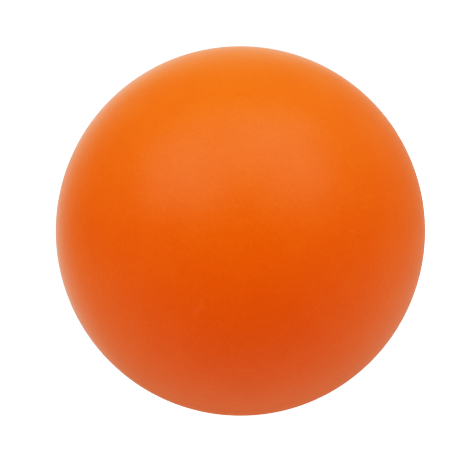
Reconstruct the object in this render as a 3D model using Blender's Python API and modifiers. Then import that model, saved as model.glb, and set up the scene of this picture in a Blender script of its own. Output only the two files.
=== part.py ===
"""Smooth three-piece golf ball, in metres, +Z up, with its origin at the ball's centre.

From the outside in: two cover cups that part on the XZ plane, two mantle cups that part on the XY
plane, a quarter turn from the cover's joint, and a solid core. Every layer is bonded to the next.
"""

import math

import bmesh
import bpy

# Driving sizes.
BALL_DIAMETER = 0.0427
COVER_WALL = 0.0015
MANTLE_WALL = 0.0012
LAYER_GAP = 0.0003  # bond line between one layer and the next
PARTING_GAP = 0.0003  # bond line between the two cups of a layer

# What the driving sizes leave for each layer.
COVER_RADIUS = BALL_DIAMETER / 2
MANTLE_RADIUS = COVER_RADIUS - COVER_WALL - LAYER_GAP
CORE_RADIUS = MANTLE_RADIUS - MANTLE_WALL - LAYER_GAP

# Facets.
TURN_STEPS = 48  # round the full circle
ARC_STEPS = 12  # from a cup's rim to its pole
SHARP_ANGLE = math.radians(40)
MERGE_DISTANCE = 0.00001

QUARTER_TURN = math.radians(90)
HALF_TURN = math.radians(180)


def clear_scene():
    for obj in list(bpy.data.objects):
        bpy.data.objects.remove(obj, do_unlink=True)


def new_collection(name):
    collection = bpy.data.collections.new(name)
    bpy.context.scene.collection.children.link(collection)
    return collection


def new_material(name, colour, roughness):
    material = bpy.data.materials.new(name)
    material.use_nodes = True
    shader = material.node_tree.nodes["Principled BSDF"]
    shader.inputs["Base Color"].default_value = (*colour, 1.0)
    shader.inputs["Roughness"].default_value = roughness
    shader.inputs["Metallic"].default_value = 0.0
    return material


def arc(radius, start, end):
    """Points of an arc about the origin in the XZ plane, from angle start to end above the X axis."""
    angles = [start + (end - start) * step / ARC_STEPS for step in range(ARC_STEPS + 1)]
    return [(radius * math.cos(angle), 0.0, radius * math.sin(angle)) for angle in angles]


def cup_profile(outer_radius, wall):
    """Half section of a cup with its pole up: down the outer arc, across the rim, up the inner arc."""
    inner_radius = outer_radius - wall
    rim_height = PARTING_GAP / 2
    outer = arc(outer_radius, QUARTER_TURN, math.asin(rim_height / outer_radius))
    inner = arc(inner_radius, math.asin(rim_height / inner_radius), QUARTER_TURN)
    outer[0] = (0.0, 0.0, outer_radius)
    inner[-1] = (0.0, 0.0, inner_radius)
    return outer + inner


def turned_mesh(name, profile):
    """The profile turned once round Z, as a mesh."""
    mesh = bpy.data.meshes.new(name + "_profile")
    edges = [(index, index + 1) for index in range(len(profile) - 1)]
    mesh.from_pydata(profile, edges, [])
    blank = bpy.data.objects.new(name + "_blank", mesh)
    bpy.context.scene.collection.objects.link(blank)
    screw = blank.modifiers.new("turn", "SCREW")
    screw.axis = "Z"
    screw.angle = 2 * math.pi
    screw.steps = TURN_STEPS
    screw.render_steps = TURN_STEPS
    screw.use_merge_vertices = True
    screw.merge_threshold = MERGE_DISTANCE
    turned = bpy.data.meshes.new_from_object(blank.evaluated_get(bpy.context.evaluated_depsgraph_get()))
    turned.name = name
    bpy.data.objects.remove(blank, do_unlink=True)
    return turned


def ball_mesh(name, radius):
    mesh = bpy.data.meshes.new(name)
    ball = bmesh.new()
    bmesh.ops.create_uvsphere(ball, u_segments=TURN_STEPS, v_segments=2 * ARC_STEPS, radius=radius)
    ball.to_mesh(mesh)
    ball.free()
    return mesh


def add_part(name, mesh, material, collection, centre, rotation=(0.0, 0.0, 0.0)):
    """One named piece on the ball's centre, turned to the way its pole points."""
    obj = bpy.data.objects.new(name, mesh)
    obj.parent = centre
    obj.rotation_euler = rotation
    collection.objects.link(obj)
    if not mesh.materials:
        mesh.materials.append(material)
        mesh.shade_smooth()
        mesh.set_sharp_from_angle(angle=SHARP_ANGLE)
    return obj


def build():
    clear_scene()
    collection = new_collection("golf_ball")
    centre = bpy.data.objects.new("ball_centre", None)
    collection.objects.link(centre)

    # Satin orange urethane: identical cups, one towards -Y and one towards +Y.
    cover = turned_mesh("cover_cup", cup_profile(COVER_RADIUS, COVER_WALL))
    cover_material = new_material("cover_orange", (0.82, 0.095, 0.004), 0.45)
    add_part("cover_front_cup", cover, cover_material, collection, centre, (QUARTER_TURN, 0.0, 0.0))
    add_part("cover_rear_cup", cover, cover_material, collection, centre, (-QUARTER_TURN, 0.0, 0.0))

    # Cloudy ionomer: identical cups, one up and one down.
    mantle = turned_mesh("mantle_cup", cup_profile(MANTLE_RADIUS, MANTLE_WALL))
    mantle_material = new_material("mantle_ivory", (0.80, 0.76, 0.64), 0.3)
    add_part("mantle_upper_cup", mantle, mantle_material, collection, centre)
    add_part("mantle_lower_cup", mantle, mantle_material, collection, centre, (HALF_TURN, 0.0, 0.0))

    # Ground polybutadiene rubber.
    core_material = new_material("core_rubber", (0.10, 0.24, 0.30), 0.8)
    add_part("core", ball_mesh("core", CORE_RADIUS), core_material, collection, centre)


build()
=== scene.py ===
import math

import bpy
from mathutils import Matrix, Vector


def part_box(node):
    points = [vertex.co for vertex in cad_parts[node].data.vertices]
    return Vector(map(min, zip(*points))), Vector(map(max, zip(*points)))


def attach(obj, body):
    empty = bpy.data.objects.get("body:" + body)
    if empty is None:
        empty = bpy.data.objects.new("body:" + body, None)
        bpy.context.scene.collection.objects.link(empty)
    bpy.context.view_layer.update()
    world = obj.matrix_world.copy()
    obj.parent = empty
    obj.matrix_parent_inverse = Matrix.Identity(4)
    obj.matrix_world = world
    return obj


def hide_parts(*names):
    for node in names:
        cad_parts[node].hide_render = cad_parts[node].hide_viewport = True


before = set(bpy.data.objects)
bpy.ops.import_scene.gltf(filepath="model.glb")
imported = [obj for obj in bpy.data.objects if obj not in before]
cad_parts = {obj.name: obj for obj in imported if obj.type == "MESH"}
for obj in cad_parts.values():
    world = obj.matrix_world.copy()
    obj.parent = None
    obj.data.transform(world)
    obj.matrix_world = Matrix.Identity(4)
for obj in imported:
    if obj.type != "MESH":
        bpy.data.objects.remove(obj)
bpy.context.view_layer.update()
print("frame loaded, %d nodes" % len(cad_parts))

mm = 0.001
quarterTurn = math.radians(90)
white = (1.0, 1.0, 1.0)


# A socket that can stand in a sum.
class Wire:
    def __init__(self, graph, socket):
        self.graph = graph
        self.socket = socket

    def __add__(self, other):
        return self.graph.maths("ADD", self, other)

    def __radd__(self, other):
        return self.graph.maths("ADD", other, self)

    def __sub__(self, other):
        return self.graph.maths("SUBTRACT", self, other)

    def __rsub__(self, other):
        return self.graph.maths("SUBTRACT", other, self)

    def __mul__(self, other):
        return self.graph.maths("MULTIPLY", self, other)

    def __rmul__(self, other):
        return self.graph.maths("MULTIPLY", other, self)

    def __truediv__(self, other):
        return self.graph.maths("DIVIDE", self, other)

    def __rtruediv__(self, other):
        return self.graph.maths("DIVIDE", other, self)

    def __pow__(self, other):
        return self.graph.maths("POWER", self, other)

    def __gt__(self, other):
        return self.graph.maths("GREATER_THAN", self, other)


# Makes the nodes of one tree, whether it shades or builds.
class Graph:
    def __init__(self, tree):
        self.tree = tree

    # A socket by its place, its identifier or its name.
    def find(self, sockets, key):
        if isinstance(key, int):
            return sockets[key]
        for socket in sockets:
            if socket.identifier == key:
                return socket
        return sockets[key]

    # out is the socket to hand back: one, several, or None for the node itself.
    def add(self, kind, settings=None, inputs=None, out=0):
        node = self.tree.nodes.new(kind)
        for key, value in (settings or {}).items():
            setattr(node, key, value)
        for key, value in (inputs or {}).items():
            socket = self.find(node.inputs, key)
            if isinstance(value, Wire):
                self.tree.links.new(value.socket, socket)
            else:
                socket.default_value = value
        if out is None:
            return node
        if isinstance(out, tuple):
            return tuple(Wire(self, self.find(node.outputs, key)) for key in out)
        return Wire(self, self.find(node.outputs, out))

    def maths(self, operation, *values):
        return self.add("ShaderNodeMath", {"operation": operation}, dict(enumerate(values)))

    def vectors(self, operation, *values, out=0):
        return self.add("ShaderNodeVectorMath", {"operation": operation}, dict(enumerate(values)), out)

    def dot(self, first, second):
        return self.vectors("DOT_PRODUCT", first, second, out="Value")

    def distance(self, first, second):
        return self.vectors("DISTANCE", first, second, out="Value")

    def scaled(self, vector, scale):
        return self.add("ShaderNodeVectorMath", {"operation": "SCALE"}, {0: vector, "Scale": scale})

    def noise(self, vector, size, detail=2.0, roughness=0.5):
        inputs = {"Vector": vector, "Scale": 1 / size, "Detail": detail, "Roughness": roughness}
        return self.add("ShaderNodeTexNoise", None, inputs, "Fac")

    # Eases from newLow to newHigh while the value goes from low to high.
    def spread(self, value, low, high, newLow=0.0, newHigh=1.0):
        inputs = {"Value": value, 1: low, 2: high, 3: newLow, 4: newHigh}
        return self.add("ShaderNodeMapRange", {"interpolation_type": "SMOOTHSTEP"}, inputs)

    def mixColours(self, factor, first, second):
        inputs = {"Factor_Float": factor, "A_Color": first, "B_Color": second}
        return self.add("ShaderNodeMix", {"data_type": "RGBA"}, inputs, "Result_Color")

    def bump(self, height, depth, normal=None):
        inputs = {"Height": height, "Distance": depth, "Strength": 1.0}
        if normal is not None:
            inputs["Normal"] = normal
        return self.add("ShaderNodeBump", None, inputs)


def opaque(colour):
    return (*colour, 1.0)


def newFinish(name):
    finish = bpy.data.materials.new(name)
    finish.use_nodes = True
    finish.node_tree.nodes.clear()
    graph = Graph(finish.node_tree)
    place = graph.add("ShaderNodeTexCoord", out="Object")
    return finish, graph, place


def closeFinish(graph, inputs):
    shader = graph.add("ShaderNodeBsdfPrincipled", None, inputs)
    graph.add("ShaderNodeOutputMaterial", None, {"Surface": shader}, None)


# Each radius is read along the axis that the piece's pole points along, where its box reaches the whole way.
ballRadius = -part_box("cover_front_cup")[0].y
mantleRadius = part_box("mantle_upper_cup")[1].z
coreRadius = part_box("core")[1].z
print("sizes read: ball %.2f mm, mantle %.2f mm, core %.2f mm across"
      % tuple(2 * radius / mm for radius in (ballRadius, mantleRadius, coreRadius)))


cameraSetup = {
    "lens": 100.0,           # mm, a portrait length that keeps the ball's outline close to its true size
    "sensor": 36.0,          # mm
    "elevation": 5.0,        # degrees above the ball's centre
    "ballShare": 0.7844,     # the outline's width as a share of the frame's
    "ballRight": 0.0091,     # how far the ball sits off centre, as shares of the frame
    "ballUp": 0.0105,
    "clip": (0.01, 50.0),    # metres
}

frameHalf = cameraSetup["sensor"] / 2 / cameraSetup["lens"]
outlineHalf = math.atan(cameraSetup["ballShare"] * frameHalf)
cameraDistance = ballRadius / math.sin(outlineHalf)
cameraTilt = math.radians(cameraSetup["elevation"])
towardsCamera = Vector((0.0, -math.cos(cameraTilt), math.sin(cameraTilt)))
cameraRight = Vector((1.0, 0.0, 0.0))
cameraUp = towardsCamera.cross(cameraRight)


def placeCamera(setup):
    frameSize = 2 * frameHalf * cameraDistance
    aim = -frameSize * (setup["ballRight"] * cameraRight + setup["ballUp"] * cameraUp)
    camera = bpy.data.cameras.new("studioCamera")
    camera.lens = setup["lens"]
    camera.sensor_width = setup["sensor"]
    camera.clip_start, camera.clip_end = setup["clip"]
    holder = bpy.data.objects.new("studioCamera", camera)
    holder.location = aim + towardsCamera * cameraDistance
    holder.rotation_mode = "QUATERNION"
    holder.rotation_quaternion = towardsCamera.to_track_quat("Z", "Y")
    bpy.context.scene.collection.objects.link(holder)
    bpy.context.scene.camera = holder


# The point of the ball seen this far across and up from its middle, in shares of its outline.
def seenPoint(across, up):
    sight = math.tan(outlineHalf) * (across * cameraRight + up * cameraUp) - towardsCamera
    sight.normalize()
    start = towardsCamera * cameraDistance
    nearing = -start.dot(sight)
    return start + sight * (nearing - math.sqrt(nearing ** 2 - cameraDistance ** 2 + ballRadius ** 2))


placeCamera(cameraSetup)
print("camera placed")


# Starts a tree that builds a piece, with a named input for each of these.
def newTree(name, sockets):
    tree = bpy.data.node_groups.new(name, "GeometryNodeTree")
    for label, kind in sockets.items():
        tree.interface.new_socket(name=label, in_out="INPUT", socket_type="NodeSocket" + kind)
    tree.interface.new_socket(name="Geometry", in_out="OUTPUT", socket_type="NodeSocketGeometry")
    graph = Graph(tree)
    entry = graph.add("NodeGroupInput", out=None)
    given = {label: Wire(graph, entry.outputs[label]) for label in sockets}
    return tree, graph, given


def closeTree(graph, geometry, material):
    solid = graph.add("GeometryNodeRealizeInstances", None, {"Geometry": geometry})
    dressed = graph.add("GeometryNodeSetMaterial", None, {"Geometry": solid, "Material": material})
    graph.add("NodeGroupOutput", None, {"Geometry": dressed}, None)


# A sheet turned round Z: its radius and height follow the share of the way along it.
def turnedSheet(graph, around, along, profile):
    grid = graph.add("GeometryNodeMeshGrid", None, {
        "Size X": 1.0, "Size Y": 1.0, "Vertices X": around + 1, "Vertices Y": along + 1}, "Mesh")
    spot = graph.add("GeometryNodeInputPosition")
    across, down = graph.add("ShaderNodeSeparateXYZ", None, {0: spot}, ("X", "Y"))
    angle = (across + 0.5) * (2 * math.pi)
    radius, height = profile(down + 0.5)
    placed = graph.add("ShaderNodeCombineXYZ", None, {
        "X": radius * graph.maths("COSINE", angle),
        "Y": radius * graph.maths("SINE", angle),
        "Z": height,
    })
    return graph.add("GeometryNodeSetPosition", None, {"Geometry": grid, "Position": placed})


lipSteps = 3                     # across a cup's rim


# A cup with its pole up: a fine outer sheet, a flat rim and an inner sheet, welded and then turned.
def cupTree():
    tree, graph, given = newTree("cupTree", {
        "Outer Radius": "Float",
        "Inner Radius": "Float",
        "Rim Height": "Float",
        "Relief Depth": "Float",
        "Relief Width": "Float",
        "Steps Around": "Int",
        "Steps Down": "Int",
        "Crowding": "Float",
        "Wave Height": "Float",
        "Wave Size": "Float",
        "Turn": "Rotation",
        "Weld": "Float",
        "Sharp Angle": "Float",
        "Material": "Material",
    })
    outer, inner, rim = given["Outer Radius"], given["Inner Radius"], given["Rim Height"]
    around, down = given["Steps Around"], given["Steps Down"]

    def relieved(height):
        reach = (height - rim) / given["Relief Width"]
        return given["Relief Depth"] * graph.maths("EXPONENT", reach * reach * -1.0)

    def outerProfile(share):
        rimAngle = graph.maths("ARCCOSINE", rim / outer)
        angle = rimAngle * (1.0 - (1.0 - share) ** given["Crowding"])
        radius = outer - relieved(outer * graph.maths("COSINE", angle))
        return radius * graph.maths("SINE", angle), radius * graph.maths("COSINE", angle)

    def innerProfile(share):
        angle = graph.maths("ARCCOSINE", rim / inner) * share
        return inner * graph.maths("SINE", angle), inner * graph.maths("COSINE", angle)

    def rimProfile(share):
        start = (inner * inner - rim * rim) ** 0.5
        edge = outer - given["Relief Depth"]
        end = edge * (1.0 - (rim / outer) * (rim / outer)) ** 0.5
        height = rim + share * (edge * rim / outer - rim)
        return start + (end - start) * share, height

    outside = graph.add("GeometryNodeFlipFaces", None, {
        "Mesh": turnedSheet(graph, around, down, outerProfile)})
    inside = turnedSheet(graph, around, down, innerProfile)
    lip = turnedSheet(graph, around, lipSteps, rimProfile)
    join = graph.add("GeometryNodeJoinGeometry", out=None)
    for sheet in (outside, inside, lip):
        graph.tree.links.new(sheet.socket, join.inputs[0])
    welded = graph.add("GeometryNodeMergeByDistance", None, {
        "Geometry": Wire(graph, join.outputs[0]), "Distance": given["Weld"]})
    turned = graph.add("GeometryNodeTransform", None, {
        "Geometry": welded, "Rotation": given["Turn"]})

    # The waves run on across the seam, because they are laid after the cup is turned.
    spot = graph.add("GeometryNodeInputPosition")
    ripple = graph.add("ShaderNodeTexNoise", None, {
        "Vector": spot, "Scale": 1.0 / given["Wave Size"], "Detail": 1.0}, "Fac")
    shift = graph.scaled(graph.vectors("NORMALIZE", spot), (ripple - 1.0) * given["Wave Height"])
    waved = graph.add("GeometryNodeSetPosition", None, {"Geometry": turned, "Offset": shift})

    bend = graph.add("GeometryNodeInputMeshEdgeAngle")
    smooth = graph.add("GeometryNodeSetShadeSmooth", {"domain": "EDGE"}, {
        "Geometry": waved, "Selection": bend > given["Sharp Angle"], "Shade Smooth": False})
    closeTree(graph, smooth, given["Material"])
    return tree


# A ball of even quads, pushed in by grinding marks.
def groundBallTree():
    tree, graph, given = newTree("groundBallTree", {
        "Radius": "Float",
        "Steps": "Int",
        "Grind Depth": "Float",
        "Grind Size": "Float",
        "Material": "Material",
    })
    corners = given["Steps"] + 1
    cube = graph.add("GeometryNodeMeshCube", None, {
        "Size": (2.0, 2.0, 2.0), "Vertices X": corners, "Vertices Y": corners, "Vertices Z": corners}, "Mesh")
    spot = graph.add("GeometryNodeInputPosition")
    sides = graph.add("ShaderNodeSeparateXYZ", None, {0: spot}, ("X", "Y", "Z"))
    evened = [graph.maths("TANGENT", side * (math.pi / 4)) for side in sides]
    direction = graph.vectors("NORMALIZE", graph.add("ShaderNodeCombineXYZ", None, dict(enumerate(evened))))
    ripple = graph.add("ShaderNodeTexNoise", None, {
        "Vector": direction, "Scale": given["Radius"] / given["Grind Size"], "Detail": 4.0}, "Fac")
    reach = given["Radius"] - (1.0 - ripple) * given["Grind Depth"]
    ball = graph.add("GeometryNodeSetPosition", None, {
        "Geometry": cube, "Position": graph.scaled(direction, reach)})
    smooth = graph.add("GeometryNodeSetShadeSmooth", None, {"Geometry": ball, "Shade Smooth": True})
    closeTree(graph, smooth, given["Material"])
    return tree


# Runs a tree with these inputs and keeps the result as a plain mesh.
def grow(name, tree, values):
    scene = bpy.context.scene
    blank = bpy.data.objects.new(name + "Blank", bpy.data.meshes.new(name + "Blank"))
    scene.collection.objects.link(blank)
    modifier = blank.modifiers.new("build", "NODES")
    modifier.node_group = tree
    for item in tree.interface.items_tree:
        if item.in_out == "INPUT" and item.name in values:
            modifier[item.identifier] = values[item.name]
    mesh = bpy.data.meshes.new_from_object(blank.evaluated_get(bpy.context.evaluated_depsgraph_get()))
    mesh.name = name
    bpy.data.objects.remove(blank, do_unlink=True)
    piece = bpy.data.objects.new(name, mesh)
    scene.collection.objects.link(piece)
    print("made %s, %d faces" % (name, len(mesh.polygons)))
    return piece


def mount(piece, node):
    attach(piece, "root")
    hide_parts(node)


cupBuilder = cupTree()
weldDistance = 0.0001 * mm
sharpAngle = math.radians(40)
bondGap = 0.02 * mm              # what is left open between two layers


def cup(name, node, walls, turn, look, finish):
    outer, inner = walls
    piece = grow(name, cupBuilder, {
        "Outer Radius": outer,
        "Inner Radius": inner,
        "Rim Height": look["seam"] / 2,
        "Relief Depth": look["reliefDepth"],
        "Relief Width": look["reliefWidth"],
        "Steps Around": look["around"],
        "Steps Down": look["down"],
        "Crowding": look["crowding"],
        "Wave Height": look["waveHeight"],
        "Wave Size": look["waveSize"],
        "Turn": (turn, 0.0, 0.0),
        "Weld": weldDistance,
        "Sharp Angle": sharpAngle,
        "Material": finish,
    })
    mount(piece, node)


# Satin orange, in two cups, with a few faint marks of handling and one pale patch of painted highlight.
cover = {
    "seam": 0.01 * mm,           # what is left open between the two cups
    "reliefDepth": 0.02 * mm,    # how far the edge beside the seam is buffed down
    "reliefWidth": 0.10 * mm,
    "around": 256,
    "down": 72,
    "crowding": 1.8,             # above 1 the rings close up towards the seam
    "waveHeight": 0.004 * mm,    # how far the moulding strays from a true ball
    "waveSize": 6.0 * mm,
    "colour": (0.845, 0.152, 0.007),
    "paleColour": (0.875, 0.162, 0.012),
    "mottleSize": 4.0 * mm,
    "speckleSize": 0.28 * mm,
    "speckleStrength": 2.8,
    "roughness": 0.36,
    "roughnessDrift": 0.04,
    "driftSize": 7.0 * mm,
    "peelSize": 0.9 * mm,
    "peelDepth": 0.015 * mm,
    "grainSize": 0.22 * mm,
    "grainDepth": 0.012 * mm,
    "specular": 0.5,
    "specularTint": (0.60, 0.32, 0.64),
    # the paler colour of the scuffs and specks of dust, and of the patch of painted highlight
    "markAndHighlightColour": (0.90, 0.20, 0.075),
    "markStrength": 0.30,
    "markRoughness": 0.05,
    "markClear": 0.2,            # the share of a mark's width that shows it in full
    "markFaintest": 0.3,         # what the grain leaves of a mark where it breaks it up most
    # Each mark is placed as it is seen from the front: where it starts and where it ends, across and up in
    # shares of the ball's outline, then its width and its strength.
    "marks": {
        "scuffSide": ((-0.212, -0.378), (-0.211, -0.416), 0.30 * mm, 0.9),
        "scuffFoot": ((-0.253, -0.436), (-0.234, -0.427), 0.52 * mm, 1.0),
        "dustUpper": ((0.523, 0.122), (0.528, 0.120), 0.24 * mm, 1.0),
        "dustRight": ((0.592, -0.002), (0.612, -0.012), 0.26 * mm, 1.3),
        "dustEdge": ((0.795, 0.196), (0.800, 0.176), 0.26 * mm, 0.6),
        "dustLow": ((-0.053, -0.298), (-0.053, -0.312), 0.20 * mm, 0.5),
        "dustLeft": ((-0.612, 0.346), (-0.604, 0.338), 0.24 * mm, 0.6),
        "dustTop": ((-0.053, 0.938), (-0.050, 0.936), 0.24 * mm, 1.0),
        "dustTopRight": ((0.118, 0.884), (0.124, 0.880), 0.22 * mm, 0.6),
        "rubbed": ((-0.280, 0.255), (-0.268, 0.280), 0.50 * mm, 0.3),
        # This pale patch is painted highlight, laid into the base colour where the shine falls.
        "paintedHighlightPatch": ((0.340, 0.555), (0.420, 0.560), 0.90 * mm, 0.22),
    },
}


def strokeMask(graph, place, stroke, clear):
    (startAcross, startUp), (endAcross, endUp), width, strength = stroke
    start = seenPoint(startAcross, startUp)
    run = seenPoint(endAcross, endUp) - start
    offset = graph.vectors("SUBTRACT", place, start)
    share = graph.add("ShaderNodeMath", {"operation": "DIVIDE", "use_clamp": True},
                      {0: graph.dot(offset, run), 1: run.length_squared})
    gap = graph.distance(offset, graph.scaled(run, share))
    return graph.spread(gap, clear * width, width, strength, 0.0)


def coverFinish(look):
    finish, graph, place = newFinish("satinOrange")
    mottle = graph.noise(place, look["mottleSize"], detail=4.0, roughness=0.6)
    mottle = graph.spread(mottle, low=0.2, high=0.8)
    speckle = graph.noise(place, look["speckleSize"], detail=1.0) - 0.5
    pigment = mottle + speckle * look["speckleStrength"]
    colour = graph.mixColours(pigment, opaque(look["colour"]), opaque(look["paleColour"]))
    grain = graph.noise(place, look["grainSize"], detail=1.0)
    markAndHighlightMask = 0.0
    for stroke in look["marks"].values():
        markAndHighlightMask = markAndHighlightMask + strokeMask(graph, place, stroke, look["markClear"])
    markAndHighlightMask = markAndHighlightMask * graph.spread(grain, low=0.3, high=0.6, newLow=look["markFaintest"])
    # Mixes in the marks: real scuffs and dust, and one pale patch of painted highlight.
    colour = graph.mixColours(markAndHighlightMask * look["markStrength"], colour, opaque(look["markAndHighlightColour"]))
    drift = graph.noise(place, look["driftSize"]) - 0.5
    peel = graph.bump(graph.noise(place, look["peelSize"], detail=1.0), look["peelDepth"])
    closeFinish(graph, {
        "Base Color": colour,
        "Roughness": look["roughness"] + drift * look["roughnessDrift"] + markAndHighlightMask * look["markRoughness"],
        "Normal": graph.bump(grain, look["grainDepth"], peel),
        "Specular IOR Level": look["specular"],
        "Specular Tint": opaque(look["specularTint"]),
    })
    return finish


coverWalls = (ballRadius, mantleRadius + bondGap)
satinOrange = coverFinish(cover)
cup("coverFrontCup", "cover_front_cup", coverWalls, quarterTurn, cover, satinOrange)
cup("coverRearCup", "cover_rear_cup", coverWalls, -quarterTurn, cover, satinOrange)


# Cloudy ivory ionomer, as moulded, in two cups.
mantle = {
    "seam": 0.01 * mm,
    "reliefDepth": -0.008 * mm,  # below 0, a thread of flash is left standing at the seam
    "reliefWidth": 0.12 * mm,
    "around": 224,
    "down": 64,
    "crowding": 1.8,
    "waveHeight": 0.010 * mm,
    "waveSize": 5.0 * mm,
    "milk": (0.81, 0.78, 0.69),
    "amber": (0.77, 0.72, 0.58),
    "flowSize": 9.0 * mm,
    "flowStretch": (1.0, 1.0, 2.6),
    "flowTwist": 1.6,
    "roughness": 0.28,
    "roughnessDrift": 0.16,
    "skinSize": 0.8 * mm,
    "skinDepth": 0.02 * mm,
    "glow": 0.12,                # how much light goes in under the surface
    "glowReach": 0.6 * mm,
    "glowTint": (1.0, 0.8, 0.5),  # how far each colour of it goes, in reaches
}


def mantleFinish(look):
    finish, graph, place = newFinish("cloudyIvory")
    flow = graph.add("ShaderNodeTexNoise", None, {
        "Vector": graph.vectors("MULTIPLY", place, look["flowStretch"]),
        "Scale": 1 / look["flowSize"], "Detail": 4.0, "Distortion": look["flowTwist"]}, "Fac")
    cloud = graph.spread(flow, low=0.32, high=0.70)
    closeFinish(graph, {
        "Base Color": graph.mixColours(cloud, opaque(look["milk"]), opaque(look["amber"])),
        "Roughness": look["roughness"] + cloud * look["roughnessDrift"],
        "Normal": graph.bump(graph.noise(place, look["skinSize"], detail=3.0), look["skinDepth"]),
        "Subsurface Weight": look["glow"],
        "Subsurface Radius": look["glowTint"],
        "Subsurface Scale": look["glowReach"],
    })
    return finish


mantleWalls = (mantleRadius, coreRadius + bondGap)
cloudyIvory = mantleFinish(mantle)
cup("mantleUpperCup", "mantle_upper_cup", mantleWalls, 0.0, mantle, cloudyIvory)
cup("mantleLowerCup", "mantle_lower_cup", mantleWalls, 2 * quarterTurn, mantle, cloudyIvory)


# Polybutadiene rubber, ground round.
core = {
    "steps": 72,                 # quads along one side of the cube that is rounded into the ball
    "grindDepth": 0.05 * mm,
    "grindSize": 2.2 * mm,
    "rubber": (0.085, 0.225, 0.285),
    "worn": (0.125, 0.270, 0.325),
    "cloudSize": 3.5 * mm,
    "speckSpacing": 1.0 * mm,
    "speckShare": 0.20,          # the share of the places that hold a speck of regrind
    "speckSmallest": 0.10,       # the sizes of specks, in spacings
    "speckLargest": 0.32,
    "speckRagged": 0.55,         # how far a speck's outline strays, in spacings
    "raggedSize": 0.35 * mm,
    "speckDark": (0.040, 0.115, 0.150),
    "speckPale": (0.24, 0.38, 0.42),
    "paleShare": 0.4,            # the share of the specks that are pale
    "roughness": 0.72,
    "roughnessDrift": 0.12,
    "specular": 0.35,
    "scratchSize": 0.20 * mm,
    "scratchLength": 14.0,       # in scratch widths
    "scratchDepth": 0.10 * mm,
    "scratchTurns": ((0.5, 0.3, 0.0), (1.7, 0.9, 0.4)),
}


def scratches(graph, place, look, turn):
    laid = graph.add("ShaderNodeMapping", {"vector_type": "POINT"}, {
        "Vector": place, "Rotation": turn, "Scale": (1.0, 1.0, 1 / look["scratchLength"])})
    return graph.noise(laid, look["scratchSize"])


def coreFinish(look):
    finish, graph, place = newFinish("groundRubber")
    cloud = graph.noise(place, look["cloudSize"], detail=4.0, roughness=0.6)
    cloud = graph.spread(cloud, low=0.3, high=0.7)
    colour = graph.mixColours(cloud, opaque(look["rubber"]), opaque(look["worn"]))
    gap, tone = graph.add("ShaderNodeTexVoronoi", None, {
        "Vector": place, "Scale": 1 / look["speckSpacing"], "Randomness": 1.0}, ("Distance", "Color"))
    pick, shade, size = graph.add("ShaderNodeSeparateColor", None, {0: tone}, ("Red", "Green", "Blue"))
    chosen = graph.maths("LESS_THAN", pick, look["speckShare"])
    ragged = (graph.noise(place, look["raggedSize"]) - 0.5) * look["speckRagged"]
    edge = look["speckSmallest"] + size * (look["speckLargest"] - look["speckSmallest"])
    speck = chosen * graph.spread(gap + ragged, edge * 0.8, edge, 1.0, 0.0)
    pale = shade > 1 - look["paleShare"]
    speckColour = graph.mixColours(pale, opaque(look["speckDark"]), opaque(look["speckPale"]))
    scored = graph.maths("MINIMUM", *[scratches(graph, place, look, turn) for turn in look["scratchTurns"]])
    closeFinish(graph, {
        "Base Color": graph.mixColours(speck, colour, speckColour),
        "Roughness": look["roughness"] + (cloud - speck) * look["roughnessDrift"],
        "Normal": graph.bump(scored, look["scratchDepth"]),
        "Specular IOR Level": look["specular"],
    })
    return finish


coreBall = grow("coreBall", groundBallTree(), {
    "Radius": coreRadius,
    "Steps": core["steps"],
    "Grind Depth": core["grindDepth"],
    "Grind Size": core["grindSize"],
    "Material": coreFinish(core),
})
mount(coreBall, "core")


studio = {
    "floorColour": (0.85, 0.85, 0.85),
    "floorRoughness": 0.9,
    "floorSpecular": 0.1,
    "floorGlow": 1.0,            # keeps the floor white and its shadow out of sight
    "floorSize": 8.0,            # metres
    "backdrop": 1.2,             # what the camera sees behind the floor
}


def layFloor(look):
    half = look["floorSize"] / 2
    level = -ballRadius
    corners = [(-half, -half, level), (half, -half, level), (half, half, level), (-half, half, level)]
    mesh = bpy.data.meshes.new("studioFloor")
    mesh.from_pydata(corners, [], [(0, 1, 2, 3)])
    finish, graph, place = newFinish("paleFloor")
    closeFinish(graph, {
        "Base Color": opaque(look["floorColour"]),
        "Roughness": look["floorRoughness"],
        "Specular IOR Level": look["floorSpecular"],
        "Emission Color": opaque(white),
        "Emission Strength": look["floorGlow"],
    })
    mesh.materials.append(finish)
    floor = bpy.data.objects.new("studioFloor", mesh)
    floor.visible_diffuse = False
    floor.visible_glossy = False
    floor.visible_shadow = False
    bpy.context.scene.collection.objects.link(floor)


# How bright the white tent round the ball is, by direction. The camera sees only the plain backdrop.
tent = {
    "roof": 0.30,
    "sides": 0.21,
    "behind": 0.19,
    "below": 0.73,
    "lowSides": 1.20,
}

# Soft panels in the tent's wall. Azimuth goes round from the camera and elevation up from level, both in
# degrees. Width and height are shares of the distance to the panel.
panels = {
    "left": {"azimuth": -37, "elevation": 37, "width": 1.06, "height": 0.82, "glow": 1.54},
    "right": {"azimuth": 38, "elevation": 45, "width": 0.88, "height": 1.10, "glow": 1.45},
    "top": {"azimuth": -20, "elevation": 71, "width": 0.70, "height": 0.24, "glow": 1.05},
    "back": {"azimuth": 183, "elevation": 18, "width": 0.56, "height": 1.42, "glow": 0.22},
    "backLeft": {"azimuth": -145, "elevation": 6, "width": 0.76, "height": 1.32, "glow": 0.21},
    "rim": {"azimuth": 186, "elevation": 2, "width": 1.10, "height": 0.80, "glow": 0.20},
    "backRight": {"azimuth": 126, "elevation": 9, "width": 1.72, "height": 1.72, "glow": 0.10},
}
panelEdge = 0.4                  # how much of a panel's half width its glow takes to fade, to either side
panelSquareness = 4.0            # 2 would make the panels round


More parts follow.
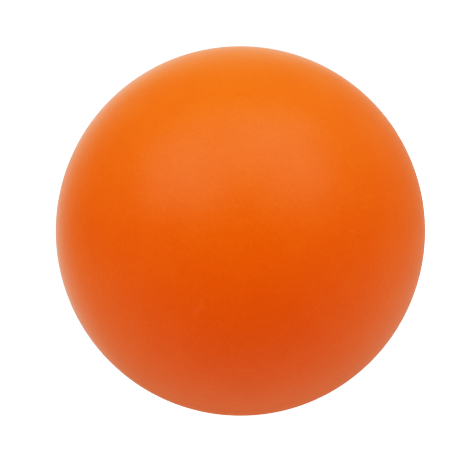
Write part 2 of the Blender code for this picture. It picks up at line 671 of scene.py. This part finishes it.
def panelGlow(graph, direction, look):
    turn = math.radians(look["azimuth"])
    lift = math.radians(look["elevation"])
    towards = Vector((math.sin(turn) * math.cos(lift), -math.cos(turn) * math.cos(lift), math.sin(lift)))
    across = Vector((math.cos(turn), math.sin(turn), 0.0))
    ahead = graph.dot(direction, towards)
    near = graph.maths("MAXIMUM", ahead, 0.001)

    def offset(axis, size):
        share = graph.maths("ABSOLUTE", graph.dot(direction, axis) / near) / (size / 2)
        return share ** panelSquareness

    reach = offset(across, look["width"]) + offset(towards.cross(across), look["height"])
    reach = reach ** (1 / panelSquareness)
    return graph.spread(reach, 1 - panelEdge, 1 + panelEdge, look["glow"], 0.0) * (ahead > 0.0)


def lightWorld(look, soft, backdrop):
    world = bpy.data.worlds.new("studioWorld")
    world.use_nodes = True
    world.node_tree.nodes.clear()
    graph = Graph(world.node_tree)
    direction = graph.add("ShaderNodeTexCoord", out="Generated")
    across, along, up = graph.add("ShaderNodeSeparateXYZ", None, {0: direction}, ("X", "Y", "Z"))
    side = across * across
    roof = graph.maths("MAXIMUM", up, 0.0) ** 2.0
    back = graph.maths("MAXIMUM", along, 0.0) ** 2.0
    low = graph.maths("MAXIMUM", up * -1.0, 0.0)
    glow = roof * look["roof"] + side * look["sides"] + back * look["behind"]
    glow = glow + low ** 4.0 * look["below"] + low * side * look["lowSides"]
    for panel in soft.values():
        glow = glow + panelGlow(graph, direction, panel)
    seen = graph.add("ShaderNodeLightPath", out="Is Camera Ray")
    strength = glow + seen * (backdrop - glow)
    shade = graph.add("ShaderNodeBackground", None, {"Color": opaque(white), "Strength": strength})
    graph.add("ShaderNodeOutputWorld", None, {"Surface": shade}, None)
    bpy.context.scene.world = world


# The film's response: a slow start and a long shoulder that keeps bright orange from burning out.
film = {
    "contrast": 1.98,
    "shoulder": 0.085,
    "stops": 12,
}


def setFilm(look):
    settings = bpy.context.scene.view_settings
    settings.view_transform = "Standard"
    settings.use_curve_mapping = True
    curve = settings.curve_mapping.curves[3]     # the one for all three colours together
    settings.curve_mapping.extend = "HORIZONTAL"
    for step in range(1, look["stops"]):
        level = (step / look["stops"]) ** 2      # closer together where it is dark
        exposed = level ** look["contrast"]
        curve.points.new(level, exposed * (1 + look["shoulder"]) / (exposed + look["shoulder"]))
    settings.curve_mapping.update()


layFloor(studio)
lightWorld(tent, panels, studio["backdrop"])
setFilm(film)
print("studio lit")
